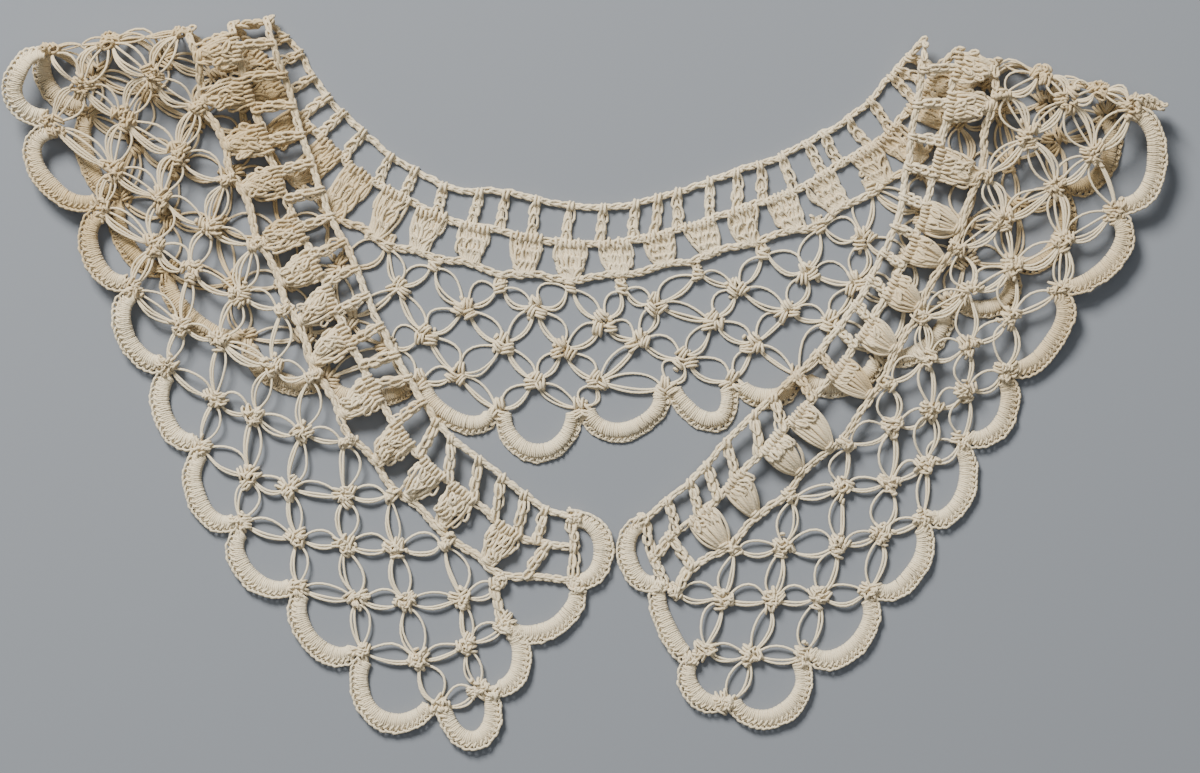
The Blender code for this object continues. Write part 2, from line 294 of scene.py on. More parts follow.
def level_point(x, y):
    """A point where the lace lies flat, from a place in the section table's terms."""
    return Vector((x - OUTLINE_MIDDLE[0], y - OUTLINE_MIDDLE[1], HALF_WALL))


def lace_point(column, fraction):
    return point_on(section_at(column), fraction)


Place = namedtuple("Place", "column point along across facing")
PROBE = 0.05  # columns, and fractions of the way to the rim
REACH_SAMPLES = 24  # a column


def place_at(column, fraction):
    """A point on the lace, with directions along its rounds, towards the rim and outwards."""
    along = lace_point(column + PROBE, fraction) - lace_point(column - PROBE, fraction)
    down = lace_point(column, fraction + PROBE) - lace_point(column, fraction - PROBE)
    along.normalize()
    facing = along.cross(down).normalized()
    return Place(column, lace_point(column, fraction), along, facing.cross(along), facing)


def off(place, x, y, z=0.0):
    """A point set off from a place by millimetres along, across and out from the lace."""
    return place.point + place.along * x + place.across * y + place.facing * z


def reach_along(points):
    """How far each point lies along the line through all of them."""
    steps = np.linalg.norm(np.diff(points, axis=0), axis=1)
    return np.concatenate([[0.0], np.cumsum(steps)])


def spread_columns(start, stop, fraction, count):
    """Columns of evenly spaced stitches from start to stop, and the length they take up."""
    columns = np.linspace(start, stop, int((stop - start) * REACH_SAMPLES) + 1)
    points = np.array([lace_point(column, fraction) for column in columns])
    reach = reach_along(points)
    return np.interp(np.linspace(0.0, reach[-1], count), reach, columns).tolist(), reach[-1]


# ---- The plan: where every stitch goes ----

SHAPES = ("lean", "link", "strand", "stub", "wrap")
Stitch = namedtuple("Stitch", "shape column point turn size stout tan")


class Plan:
    """The stitches of one round of crochet, all along the collar, in millimetres."""

    def __init__(self, seed, tanning, age=0.0):
        self.stitches = []
        self.draw = np.random.default_rng(seed)
        self.tanning = tanning
        self.age = age

    def vary(self, amount):
        """A random number up to an amount either way."""
        return float(self.draw.uniform(-amount, amount))

    def tan_at(self, column, point):
        """How much tan a place takes, from 0 to 1: the cotton's own tan with age and stains, and painted shade where
        layers of lace lie under the shoulder folds.
        """
        tan = sum(
            amount * math.exp(-((column - middle) / spread) ** 2)
            for middle, spread, amount in self.tanning)
        for stain in STAINS:
            away = math.hypot(
                point.x + OUTLINE_MIDDLE[0] - stain.x, point.y + OUTLINE_MIDDLE[1] - stain.y)
            tan += stain.amount * math.exp(-(away / stain.spread) ** 2)
        return max(0.0, min(1.0, self.age + tan + self.vary(0.06)))

    def put(self, shape, column, point, x_axis, y_axis, size, stout):
        """One stitch at a point, with its length and width along two axes."""
        turn = Matrix((x_axis, y_axis, x_axis.cross(y_axis))).transposed().to_euler()
        self.stitches.append(Stitch(
            SHAPES.index(shape), column, tuple(point), tuple(turn), size, stout,
            self.tan_at(column, point)))

    def add(self, shape, place, offset, turn, tilt, size, stout):
        """One stitch, set off from a place, turned on the lace and tilted out of it."""
        x_axis = place.along * math.cos(turn) + place.across * math.sin(turn)
        y_axis = place.across * math.cos(turn) - place.along * math.sin(turn)
        y_axis = y_axis * math.cos(tilt) + place.facing * math.sin(tilt)
        self.put(shape, place.column, off(place, *offset), x_axis, y_axis, size, stout)

    def span(self, shape, column, start, stop, facing, bow, arch, stout, short=0.0):
        """A strand between two points, bowed sideways, arched out and some length short."""
        x_axis = (stop - start).normalized()
        y_axis = facing.cross(x_axis).normalized()
        size = ((stop - start).length - short, bow, arch)
        self.put(shape, column, (start + stop) / 2, x_axis, y_axis, size, stout)

    def part(self, stretch):
        """The stitches on one stretch of the collar."""
        return [s for s in self.stitches if stretch.start <= s.column < stretch.stop]


QUARTER = math.pi / 2

# The lines that the rounds of chain follow, as fractions of the way to the rim.
CHAIN_ROWS = table("column neck bars fans", (
    (-1.0, 0.0, 0.165, 0.340), (2.0, 0.005, 0.165, 0.355), (9.0, 0.0, 0.165, 0.355),
    (13.9, 0.0, 0.130, 0.345), (15.5, 0.0, 0.170, 0.360), (17.5, 0.0, 0.195, 0.368),
    (20.0, 0.0, 0.175, 0.335), (22.0, 0.0, 0.165, 0.355), (25.3, 0.0, 0.165, 0.360),
    (27.0, 0.035, 0.165, 0.360), (29.0, 0.045, 0.170, 0.380), (30.5, 0.050, 0.190, 0.440),
    (32.0, 0.020, 0.170, 0.385), (34.0, 0.0, 0.155, 0.345)))


def between(rows, column, name):
    """A value at a column, on straight lines between a table's rows."""
    return float(np.interp(
        column, [row.column for row in rows], [getattr(row, name) for row in rows]))


def neck_chain(column):
    """Fraction of the neck edge."""
    return between(CHAIN_ROWS, column, "neck")


def bar_chain(column):
    """Fraction at which the bars end."""
    return between(CHAIN_ROWS, column, "bars")


def fan_chain(column):
    """Fraction at which the fans end, let down at each knot that hangs from their chain."""
    return between(CHAIN_ROWS, column, "fans") + 0.010 * math.cos(2 * math.pi * column)


# How stout a thread is that lies close to others, fills a stitch's middle or turns tightly.
CLOSE, CORE, TIGHT = 1.3, 1.6, 1.25
STRAY = 0.14  # radians
LINK_HEIGHT = 0.6
POST_OVERLAP = 0.2  # links
TIP_CHAIN_END = 33.75  # the column where the inner chains meet the right front's short end


def chain_line(plan, start, stop, line, settings, width, lift=0.0):
    """A row of chain stitches along the collar, on a line that gives each column's fraction."""
    pitch = settings.chain_pitch / MM
    _, length = spread_columns(start, stop, line(start), 2)
    columns, _ = spread_columns(start, stop, line(start), round(length / pitch) + 1)
    for column, ahead in zip(columns, columns[1:]):
        place = place_at(column, line(column))
        heading = lace_point(ahead, line(ahead)) - place.point
        turn = math.atan2(heading.dot(place.across), heading.dot(place.along))
        plan.add(
            "link", place, (0, 0, lift + plan.vary(0.08)), turn + plan.vary(0.12),
            plan.vary(0.25), (heading.length, width * (1 + plan.vary(0.1)), LINK_HEIGHT), CLOSE)
        plan.span(
            "stub", column, off(place, 0, 0, lift), off(place, 0, 0, lift) + heading,
            place.facing, bow=plan.vary(0.3), arch=0.3, stout=CORE, short=-0.4)


def inner_chain(plan, line, settings):
    """The wider chain that a round ends in."""
    chain_line(
        plan, LEFT_TIP, TIP_CHAIN_END, line, settings, 1.25 * settings.chain_width / MM)


def post(plan, place, top, foot, links, width, lift, waver, stray=STRAY):
    """A crochet post: a few links in line from a point at its top to a point at its foot."""
    x_axis = (foot - top).normalized()
    y_axis = place.facing.cross(x_axis).normalized()
    reach = (foot - top).length / (links + POST_OVERLAP)
    for step in range(links):
        turn, tilt = plan.vary(stray), plan.vary(2.5 * stray)
        middle = Place(
            place.column, top.lerp(foot, step / (links + POST_OVERLAP)), x_axis, y_axis,
            x_axis.cross(y_axis))
        plan.add(
            "link", middle, (0, plan.vary(waver), lift + plan.vary(0.1)), turn, tilt,
            (reach, width * (1 + plan.vary(0.15)), LINK_HEIGHT), CLOSE)


def wraps(plan, place, turn, count, spacing, length, height, offset=(0.0, 0.0, 0.0),
          stout=CLOSE, stray=STRAY):
    """A few turns of thread side by side, wound across the direction of turn."""
    for index in range(count):
        side = (index - (count - 1) / 2) * spacing
        x = offset[0] + side * math.cos(turn) + plan.vary(0.06)
        y = offset[1] + side * math.sin(turn) + plan.vary(0.10)
        plan.add(
            "wrap", place, (x, y, offset[2] + plan.vary(0.12)), turn + plan.vary(stray),
            plan.vary(stray),
            (1.0, length * (1 + plan.vary(0.12)), height * (1 + plan.vary(0.08))), stout)


def plan_neck_chain(settings):
    """The foundation chain."""
    plan = Plan(seed=11, tanning=TAN_AND_FOLD_SHADE["chain"], age=0.10)
    chain_line(
        plan, LEFT_TIP, RIGHT_TIP, neck_chain, settings, settings.chain_width / MM, lift=0.1)
    return plan


def bar(plan, place, head, foot, width):
    """A bar: turns over the chain above, then links in two layers down to its foot."""
    post(plan, place, head, foot, links=3, width=width, lift=0.0, waver=0.2)
    plan.span(
        "strand", place.column, head, foot, place.facing, bow=plan.vary(0.5), arch=0.2,
        stout=CORE)
    post(
        plan, place, head.lerp(foot, 0.12), foot, links=3, width=0.6 * width, lift=0.5,
        waver=0.35)
    along = (foot - head).normalized()
    turn = math.atan2(along.dot(place.across), along.dot(place.along))
    top = place._replace(point=head)
    wraps(plan, top, turn - QUARTER, count=2, spacing=0.85, length=2.0, height=1.7)


# Columns of the bars' heads: the left front, the back and the right front.
BAR_HEADS = (
    -0.20, 0.31, 0.77, 1.25, 1.83, 2.21, 2.57, 3.02, 3.45, 3.95, 4.45, 4.90, 5.38, 5.86, 6.34,
    6.82, 7.29, 7.76, 8.22, 8.68, 9.10, 9.55, 10.07, 10.69, 11.28, 11.79, 12.42, 13.31, 13.99,
    14.81, 15.52, 16.00, 16.54, 17.14, 17.78, 18.37, 18.74, 19.08, 19.58, 20.01, 20.49, 20.99,
    21.60, 22.03, 22.72, 23.35, 24.11, 24.60, 25.09, 25.75, 26.24, 26.72, 27.18, 27.63, 28.07,
    28.50, 28.94, 29.38, 29.83, 30.28, 30.74, 31.22, 31.62, 32.22, 32.67, 33.03, 33.46, 33.93)

# How many columns a bar's foot lies beyond its head, by column.
BAR_LEANS = table("column lean", (
    (-0.2, -0.09), (0.5, -0.26), (1.9, -0.40), (2.6, 0.09), (3.0, 0.28), (4.0, 0.05),
    (9.0, 0.02), (13.0, 0.08), (16.0, -0.08), (18.4, -0.24), (20.5, -0.15), (21.5, -0.05),
    (24.0, -0.20), (27.0, 0.0), (30.7, 0.10), (31.6, 0.36), (32.5, 0.16), (34.0, 0.08)))

# Bars at the fronts' ends, by column and fraction at head and foot.
TIP_BARS = table("head head_fraction foot foot_fraction", (
    (-1.05, 0.00, -1.02, 0.17), (-1.02, 0.17, -0.95, 0.38), (-0.49, 0.18, -0.32, 0.34),
    (0.09, 0.40, -0.22, 0.56), (34.05, 0.17, 34.05, 0.32), (33.70, 0.15, 34.08, 0.185),
    (33.70, 0.15, 33.65, 0.325), (33.65, 0.325, 33.98, 0.39)))


def plan_bars(settings):
    """Bars from the neck chain to the chain that they end in."""
    plan = Plan(seed=12, tanning=TAN_AND_FOLD_SHADE["bar"], age=0.12)
    width = settings.bar_width / MM
    for column in BAR_HEADS:
        place = place_at(column, neck_chain(column))
        foot = column + between(BAR_LEANS, column, "lean")
        bar(plan, place, off(place, 0, 0.3), lace_point(foot, bar_chain(foot)), width)
    for row in TIP_BARS:
        place = place_at(row.head, row.head_fraction)
        bar(plan, place, place.point, lace_point(row.foot, row.foot_fraction), width)
    inner_chain(plan, bar_chain, settings)
    return plan


# For each kind of fan: its share of the full width, its foot's share of that width, how far
# beyond its chain it ends, and how far down the links lie that are worked over its posts.
FanKind = namedtuple("FanKind", "width foot end reaches")
FAN_KINDS = {
    "links": FanKind(0.92, 0.36, 0.1, ()),
    "mixed": FanKind(0.88, 0.26, -0.7, (1.2, 3.0, 4.6)),
    "strands": FanKind(0.8, 0.26, -0.7, (0.9,)),
}


def fan(plan, column, settings, kind):
    """One fan: heads over the chain above, and posts that draw together.

    Its kind says how its posts show: as links, as long strands, or as both, mixed.
    """
    lean = column + plan.vary(0.06)
    top, foot = place_at(column, bar_chain(column)), place_at(lean, fan_chain(lean))
    share, narrow, beyond, reaches = FAN_KINDS[kind]
    half = settings.fan_width / MM / 2 * share
    count = settings.fan_posts
    for index in range(count):
        across = (index + 0.5) / count * 2 - 1
        head = off(top, across * half, plan.vary(0.2), 0.1)
        end = off(foot, across * half * narrow, beyond)
        rise = 0.35 * (index % 2) + plan.vary(0.2)
        wraps(
            plan, top, 0.0, count=1, spacing=0.0, length=1.9, height=1.8,
            offset=(across * half, 0.25 + plan.vary(0.3), 0.2))
        if kind == "links" or index % 2 == 0:
            plan.span(
                "stub", column, head, end, top.facing, bow=-0.9 * across + plan.vary(0.3),
                arch=0.4, stout=CORE)
        if kind == "links":
            post(
                plan, top, head + top.across * 0.5, end, links=3, width=1.25, lift=rise,
                waver=0.35, stray=0.32)
            plan.add(
                "link", top,
                (across * half * 0.55, 2.0 + 1.6 * (index % 3) + plan.vary(0.4), 0.6 + rise),
                plan.vary(math.pi), plan.vary(0.5), (1.5, 0.9, LINK_HEIGHT), CLOSE)
            continue
        if kind == "mixed" and index % 2 == 0:
            waist = head.lerp(end, 0.5) + top.along * across * 1.2 + top.facing * 0.5
            for start, stop, width, lift in (
                    (head + top.across * 0.4, waist, 1.4, rise), (waist, end, 1.2, 0.7 * rise)):
                post(plan, top, start, stop, 2, width, lift, waver=0.3, stray=0.35)
            continue
        for side in (-1, 1):
            plan.span(
                "strand", column, head + top.along * side * 0.3 + top.across * 0.6,
                end + top.along * side * 0.15, top.facing,
                bow=-1.1 * across - 0.15 * side + plan.vary(0.45), arch=0.7 + rise,
                stout=CLOSE)
        if kind == "strands":
            plan.span(
                "lean", column, head, end, top.facing, bow=-0.8 * across + plan.vary(0.3),
                arch=1.1 + rise, stout=CLOSE)
        for reach in reaches:
            plan.add(
                "link", top,
                (across * half * (1.0 - 0.1 * reach), reach + plan.vary(0.5), 0.8 + rise),
                QUARTER + 0.4 * across + plan.vary(0.7), plan.vary(0.4),
                (1.9, 1.1, LINK_HEIGHT), CLOSE)
    if kind != "links":
        wraps(
            plan, foot, QUARTER, count=2, spacing=0.6, length=2 * half * narrow + 0.4,
            height=1.5, offset=(0, -0.9, 0.1))


# Columns of the fans, run by run, and the kind of each run.
FAN_RUNS = (
    ("mixed", (
        0.26, 1.15, 1.72, 2.43, 3.24, 4.10, 4.68, 5.28, 5.90, 6.70, 7.35, 8.06, 8.67)),
    ("links", (
        9.83, 10.60, 11.40, 12.20, 12.95, 13.85, 14.67, 15.51, 16.36, 17.05, 17.82, 18.57,
        19.25, 19.93, 20.63, 21.43, 22.47, 23.12, 23.95, 24.69)),
    ("mixed", (25.63, 26.20, 27.00)),
    ("strands", (27.78, 28.27, 28.87, 29.58, 30.29, 31.14, 31.72, 32.47, 33.15)))


def plan_fans(settings):
    """Fans between the bars' chain and the chain that the net hangs from."""
    plan = Plan(seed=13, tanning=TAN_AND_FOLD_SHADE["fan"], age=0.14)
    for kind, columns in FAN_RUNS:
        for column in columns:
            fan(plan, column, settings, kind)
    inner_chain(plan, fan_chain, settings)
    return plan


# The net's rows of knots: each one's share of the way from the fans' chain to the rim, how many
# columns its knots stand off the whole ones, and how far they lean on each stretch.
NET_ROWS = table("share offset left back right", (
    (0.05, 0.0, -0.08, 0.00, 0.00), (0.31, 0.5, -0.12, 0.05, -0.05),
    (0.55, 0.0, -0.05, -0.02, -0.05), (0.77, 0.5, -0.12, 0.05, -0.02),
    (1.00, 0.0, 0.00, 0.00, 0.00)))
LEAN_COLUMNS = (7.0, 12.0, 22.0, 27.0)  # between which a row's lean changes

# Knots away from the even rows, at the left front's slanting end and where the back's net has
# strayed: runs of neighbours in a row, from a column on, at places in the section table's
# terms.
FREE_KNOTS = table("row column places", (
    (1, -0.5, ((-16.9, -51.4),)),
    (3, -0.5, ((-22.9, -65.6),)),
    (0, 14.0, ((-42.2, 30.1), (-32.4, 26.0), (-18.2, 21.3), (-2.9, 21.3), (8.1, 21.1),
        (24.4, 24.3), (38.4, 28.6), (50.8, 34.6), (61.6, 42.6))),
    (1, 14.5, ((-40.1, 21.1), (-25.9, 16.6), (-10.6, 16.8), (4.0, 13.5), (15.4, 17.4),
        (33.0, 21.1), (47.8, 24.3), (59.9, 31.8))),
    (2, 15.0, ((-34.3, 10.8), (-17.5, 8.8), (-4.6, 7.7), (11.5, 9.5), (27.6, 14.0),
        (43.8, 16.1), (58.4, 22.1))),
    (3, 15.5, ((-27.2, 2.4), (-10.6, 0.6), (2.9, 1.1), (21.4, 5.6), (36.4, 9.0),
        (53.0, 14.0)))))

# The middles of the folded stretches, how far they are felt, and the folds' edges, in columns.
FOLD_COLUMNS, FOLD_SPREAD = (8.2, 25.9), 2.2
CREASE_COLUMNS = (9.0, 25.35)

# Bundles of wraps that make up a knot, with their turn in degrees.
KNOT_BUNDLES = table("x y z turn height", (
    (0.0, -1.3, 0.1, 10, 1.7),
    (-1.2, 0.7, 0.0, 55, 1.6),
    (1.2, 0.7, 0.0, -55, 1.6),
))


def near_fold(column):
    """How near a column is to a shoulder fold, from 0 to 1."""
    return max(math.exp(-((column - fold) / FOLD_SPREAD) ** 2) for fold in FOLD_COLUMNS)


def lumps(plan, place, count, reach_x, reach_y):
    """Small tight turns of thread, and threads that cross between them, on a knot."""
    for _ in range(count):
        plan.add(
            "wrap", place, (plan.vary(reach_x), plan.vary(reach_y), 0.4 + plan.vary(0.3)),
            plan.vary(math.pi), plan.vary(0.5), (1.0, 0.75 + plan.vary(0.2), 0.9), TIGHT)
    for _ in range(2 * count):
        plan.add(
            "stub", place,
            (plan.vary(0.65 * reach_x), plan.vary(0.65 * reach_y), 0.45 + plan.vary(0.2)),
            plan.vary(math.pi), plan.vary(0.2), (1.5 + plan.vary(0.3), plan.vary(0.4), 0.95),
            1.1)


def knot(plan, place):
    """A knot of the net: three bundles of wraps, and small tight turns over them."""
    twist, flip = plan.vary(0.6), float(plan.draw.choice((-1, 1)))
    spread = 1 + 0.4 * near_fold(place.column)
    for bundle in KNOT_BUNDLES:
        x = bundle.x * flip * spread + plan.vary(0.35)
        y = bundle.y + plan.vary(0.35)
        wraps(
            plan, place, math.radians(bundle.turn) + twist + plan.vary(0.3), count=3,
            spacing=0.72, length=2.5, height=bundle.height, offset=(x, y, bundle.z), stout=1.2,
            stray=0.35)
    lumps(plan, place, count=5, reach_x=2.1 * spread, reach_y=2.1)


def hanging_knot(plan, place):
    """A knot of the first row, whose strands reach up over the chain that it hangs from."""
    for side in (-1.1, -0.2, 0.8):
        plan.span(
            "stub", place.column, off(place, side * 0.8, -2.1 + plan.vary(0.4), 0.2),
            off(place, side, 0.8 + plan.vary(0.3)), place.facing, bow=plan.vary(0.5), arch=0.9,
            stout=CLOSE)
    wraps(
        plan, place, QUARTER + plan.vary(0.4), count=3, spacing=0.8, length=2.2, height=1.5,
        offset=(0, 0.3, 0.1), stout=TIGHT, stray=0.4)
    above = place._replace(point=off(place, 0, -0.6))
    lumps(plan, above, count=4, reach_x=1.1, reach_y=2.0)


def net_knots(plan, settings):
    """Places of the net's knots, by row and column, each a little off its mark."""
    loose = settings.knot_looseness / MM
    knots = {}
    for index, row in enumerate(NET_ROWS):
        column = row.offset if index else LEFT_TIP
        leans = (row.left, row.back, row.back, row.right)
        while column <= RIGHT_TIP:
            lean = float(np.interp(column, LEAN_COLUMNS, leans))
            if column in (LEFT_TIP, 0.0, RIGHT_TIP):
                lean = 0.0
            drift = 0.3 * loose if index in (0, len(NET_ROWS) - 1) else loose
            chain = fan_chain(column)
            place = place_at(column + lean, chain + (1 - chain) * row.share)
            knots[index, column] = place._replace(
                point=off(place, plan.vary(drift), plan.vary(drift)))
            column += 1.0
    for run in FREE_KNOTS:
        for step, (x, y) in enumerate(run.places):
            mark = run.row, run.column + step
            near = knots.get(mark, place_at(0.0, 0.5))
            knots[mark] = near._replace(point=level_point(x, y))
    return knots


DRAWN = ("strand", "lean")  # shapes of a drawn strand
PETAL_SHORT, PETAL_STOUT = 2.2, 1.07


def petal(plan, start, stop, side, settings):
    """Three drawn strands from knot to knot: one bowed to a side, and two the other way."""
    bow = settings.petal_bow / MM
    column = (start.column + stop.column) / 2
    facing = (start.facing + stop.facing).normalized()
    around = max(0.0, 1 - start.facing.dot(stop.facing)) * 2.0
    lift = facing * plan.vary(0.25)
    if plan.draw.random() < 0.5:
        start, stop, side = stop, start, -side
    plan.span(
        plan.draw.choice(DRAWN), column, start.point + lift, stop.point + lift, facing,
        side * bow * (1 + plan.vary(0.4)), 0.3 + around, PETAL_STOUT, PETAL_SHORT)
    inner = 0.45 + plan.vary(0.3)
    strays = (0.5, -0.6) if plan.draw.random() < near_fold(column) else ()
    for outward in (0.0, 0.24 + plan.vary(0.08), *strays):
        plan.span(
            plan.draw.choice(DRAWN), column, start.point - lift, stop.point - lift, facing,
            -side * bow * (inner + outward), 0.3 + around, PETAL_STOUT, PETAL_SHORT)


def crease(plan, column):
    """Strands drawn taut along a shoulder fold's edge."""
    chain = fan_chain(column)
    places = [place_at(column, chain + (1 - chain) * row.share) for row in NET_ROWS]
    for start, stop in zip(places, places[1:]):
        for bow in (-0.9, -0.2, 0.6):
            plan.span(
                plan.draw.choice(DRAWN), column, start.point, stop.point,
                Vector((0.0, 0.0, 1.0)), bow + plan.vary(0.4), arch=0.3 + plan.vary(0.3),
                stout=0.95, short=0.4)


# Where no petals hang at the left front's slanting end: row, column and step to the next knot.
BARE_STEPS = ((0, LEFT_TIP, -0.5), (0, LEFT_TIP, 0.5), (0, 0.0, -0.5))


def plan_net(settings):
    """The net of Solomon's knots."""
    plan = Plan(seed=14, tanning=TAN_AND_FOLD_SHADE["net"])
    knots = net_knots(plan, settings)
    for (index, column), place in knots.items():
        plan.age = 0.0
        for step in (-0.5, 0.5):
            below = knots.get((index + 1, column + step))
            if below and (index, column, step) not in BARE_STEPS:
                petal(plan, place, below, math.copysign(1.0, -step), settings)
        # Knots take more tan the nearer they lie to a shoulder fold.
        plan.age = 0.18 + 0.2 * near_fold(column)
        (knot if index else hanging_knot)(plan, place)
    for column in CREASE_COLUMNS:
        crease(plan, column)
    return plan


# How far a scallop's band starts from its joints, along the rim and out from it.
FOOT_INSET, MOST_INSET_COLUMNS = 1.3, 0.2
EDGING_GAP = 0.5
# The band's width at its feet, and what its middle has more, as shares of its full width.
FEET_SHARE, MIDDLE_SHARE = 0.82, 0.18
BAND_SAMPLES = 41


def scallop_out(bulge, share):
    """How far out a scallop's middle lies, a share of the way along it."""
    return EDGING_GAP + (bulge - EDGING_GAP) * math.sin(math.pi * share)


def along_chord(inset, share):
    """How much of a scallop's chord is passed, a share of the way along it."""
    return inset + (1 - 2 * inset) * (1 - math.cos(math.pi * share)) / 2


def rim_scallop(column):
    """Middle of the scallop that starts at a net column, with its facing, for a share of it."""
    bulge = next(row.bulge for row in SECTIONS if row.column == column)
    inset = FOOT_INSET / (lace_point(column + 1, 1.0) - lace_point(column, 1.0)).length
    inset = min(inset, MOST_INSET_COLUMNS)

    def middle(share):
        along = column + along_chord(inset, share)
        row = section_at(along)
        length = math.hypot(row.rim_x - row.neck_x, row.rim_y - row.neck_y)
        point = point_on(row, 1 + scallop_out(bulge, share) / length)
        return point, place_at(along, 1.0).facing
    return middle


def end_scallop(row):
    """Middle of a scallop on a front's short end, with its facing, for a share of it."""
    chord = Vector((row.to_x - row.from_x, row.to_y - row.from_y, 0.0))
    start = level_point(row.from_x, row.from_y)
    outward = Vector((-chord.y, chord.x, 0.0)).normalized()
    inset = 0.5 * FOOT_INSET / chord.length

    def middle(share):
        along, out = along_chord(inset, share), scallop_out(row.bulge, share)
        return start + chord * along + outward * out, Vector((0.0, 0.0, 1.0))
    return middle


def band_places(column, middle, pitch, half):
    """Places evenly spaced along a scallop's band, with half the band's width at each."""
    shares = np.linspace(0.0, 1.0, BAND_SAMPLES)
    points = np.array([middle(share)[0] for share in shares])
    reach = reach_along(points)
    count = max(3, round(reach[-1] / pitch))
    step = reach[-1] / count
    for index in range(count):
        before, share, after = np.interp(
            [index * step, (index + 0.5) * step, (index + 1.0) * step], reach, shares).tolist()
        point, facing = middle(share)
        along = (middle(after)[0] - middle(before)[0]).normalized()
        across = facing.cross(along).normalized()
        place = Place(column + share, point, along, across, along.cross(across))
        yield place, half * (FEET_SHARE + MIDDLE_SHARE * math.sin(math.pi * share))


def scallop_stitches(plan, column, middle, settings):
    """Close stitches along a scallop: ribs over its core and a braid of links on its rim."""
    width = settings.scallop_width / MM / 2
    for place, half in band_places(column, middle, settings.rib_pitch / MM, width):
        length = 2 * half - 1.1 + plan.vary(0.1)
        plan.add(
            "wrap", place, (plan.vary(0.05), length / 2 - 0.1 - half, plan.vary(0.05)),
            plan.vary(0.08), plan.vary(0.05), (1.0, length, 1.4 + plan.vary(0.06)),
            1.05 + plan.vary(0.05))
    pitch = settings.scallop_pitch / MM
    for place, half in band_places(column, middle, pitch, width):
        plan.add(
            "link", place,
            (-pitch * 0.7, half - 0.75 + plan.vary(0.06), 0.35 + plan.vary(0.06)),
            plan.vary(0.12), 0.3, (pitch * 1.3, 1.15, 0.5), 1.1)
        plan.span(
            "stub", place.column, off(place, -0.3, half - 1.9, 0.6),
            off(place, 0.3, half - 0.9, 0.5), place.facing, bow=0.0, arch=0.15, stout=1.0)


def joint(plan, column, x, y):
    """The bundle of turns where two scallops meet, at a place in the section table's terms."""
    place = Place(column, level_point(x, y), *Matrix.Identity(3))
    wraps(
        plan, place, plan.vary(math.pi), count=4, spacing=0.66, length=2.8, height=1.6,
        offset=(0, 0, 0.1), stout=TIGHT, stray=0.4)
    lumps(plan, place, count=5, reach_x=1.5, reach_y=1.5)


def plan_edging(settings):
    """Scallops from joint to joint, along the rim and up both short ends."""
    plan = Plan(seed=15, tanning=TAN_AND_FOLD_SHADE["edging"], age=0.06)
    for column in range(0, int(RIGHT_TIP)):
        scallop_stitches(plan, column, rim_scallop(column), settings)
    for row in END_SCALLOPS:
        scallop_stitches(plan, row.column, end_scallop(row), settings)
        joint(plan, row.column, row.from_x, row.from_y)
    joint(plan, row.column, row.to_x, row.to_y)
    return plan


# Where the cotton takes tan, by round: column, spread in columns, amount. At the shoulder folds the tan is partly the
# cotton's own, with age, and partly painted shade where layers of lace lie under the folded fronts.
TAN_AND_FOLD_SHADE = {
    "chain": ((8.5, 2.5, 0.35), (25.5, 2.0, 0.20)),
    "bar": ((8.5, 3.0, 0.50), (24.5, 2.0, 0.30)),
    "fan": ((7.5, 3.0, 0.50), (11.5, 2.0, 0.60), (24.0, 1.8, 0.55), (28.0, 2.5, 0.30)),
    "net": ((7.5, 2.5, 0.35), (11.5, 2.2, 0.80), (23.8, 1.8, 0.70), (28.0, 2.5, 0.20)),
    "edging": (
        (6.9, 0.75, 0.85), (11.3, 1.8, 0.95), (14.0, 0.8, 0.35), (24.0, 1.6, 0.90),
        (28.2, 1.5, 0.50)),
}

# Stains, at places in the section table's terms.
STAINS = table("x y spread amount", (
    (-66.3, 37.2, 3.0, 0.9), (-69.0, 62.0, 7.0, 0.35), (-51.3, 28.6, 4.0, 0.5),
    (-46.3, 9.2, 3.5, 0.6), (-39.5, -1.9, 3.0, 0.7), (-33.4, -5.8, 2.5, 0.5),
    (-54.5, 2.4, 3.0, 0.4), (-24.4, 17.8, 3.0, 0.3), (-4.0, 8.2, 3.0, 0.35),
    (59.9, 1.7, 3.0, 0.6), (50.4, 4.5, 3.5, 0.5), (44.8, -0.4, 4.0, 0.6)))

# ---- Stitch shapes ----

SHAPES_NAME = "Stitch shapes"
LINK_STEPS, WRAP_STEPS = 9, 8
STRAND_SHARES = (0.0, 0.03, 0.08, 0.15, 0.24, 0.35, 0.5, 0.65, 0.76, 0.85, 0.92, 0.97, 1.0)
STUB_SHARES = (0.0, 0.25, 0.5, 0.75, 1.0)


def link_point(angle):
    """A point of a chain stitch's loop, one pitch long and one wide, which overlaps the next.

    Its tail goes under the stitch before, and its head is the wider end.
    """
    share = (1 - math.cos(angle)) / 2
    width = 0.62 * math.sin(angle) * (0.55 + 0.45 * share)
    height = -0.9 * (1 - share) ** 3 + 1.7 * share * (1 - share) + 0.1 * share
    return 1.4 * share, width, height


def wrap_point(angle):
    """A point of a turn of thread, one across and one high."""
    return 0.12 * math.sin(angle + 0.5), 0.5 * math.cos(angle), 0.5 * math.sin(angle)


def ring(point, steps):
    return [point(2 * math.pi * step / steps) for step in range(steps)]


def strand(shares, lean=1.0, roundness=1.0):
    """A strand one long, bowed and arched by one, and bowed nearer its start by a lean."""
    return [
        (share - 0.5, math.sin(math.pi * share ** lean) ** roundness, math.sin(math.pi * share))
        for share in shares]


# Each shape's points, and whether they close into a ring.
STITCH_CURVES = {
    "lean": (strand(STRAND_SHARES, 0.75, 0.75), False),
    "link": (ring(link_point, LINK_STEPS), True),
    "strand": (strand(STRAND_SHARES, 1.0, 0.7), False),
    "stub": (strand(STUB_SHARES), False),
    "wrap": (ring(wrap_point, WRAP_STEPS), True),
}


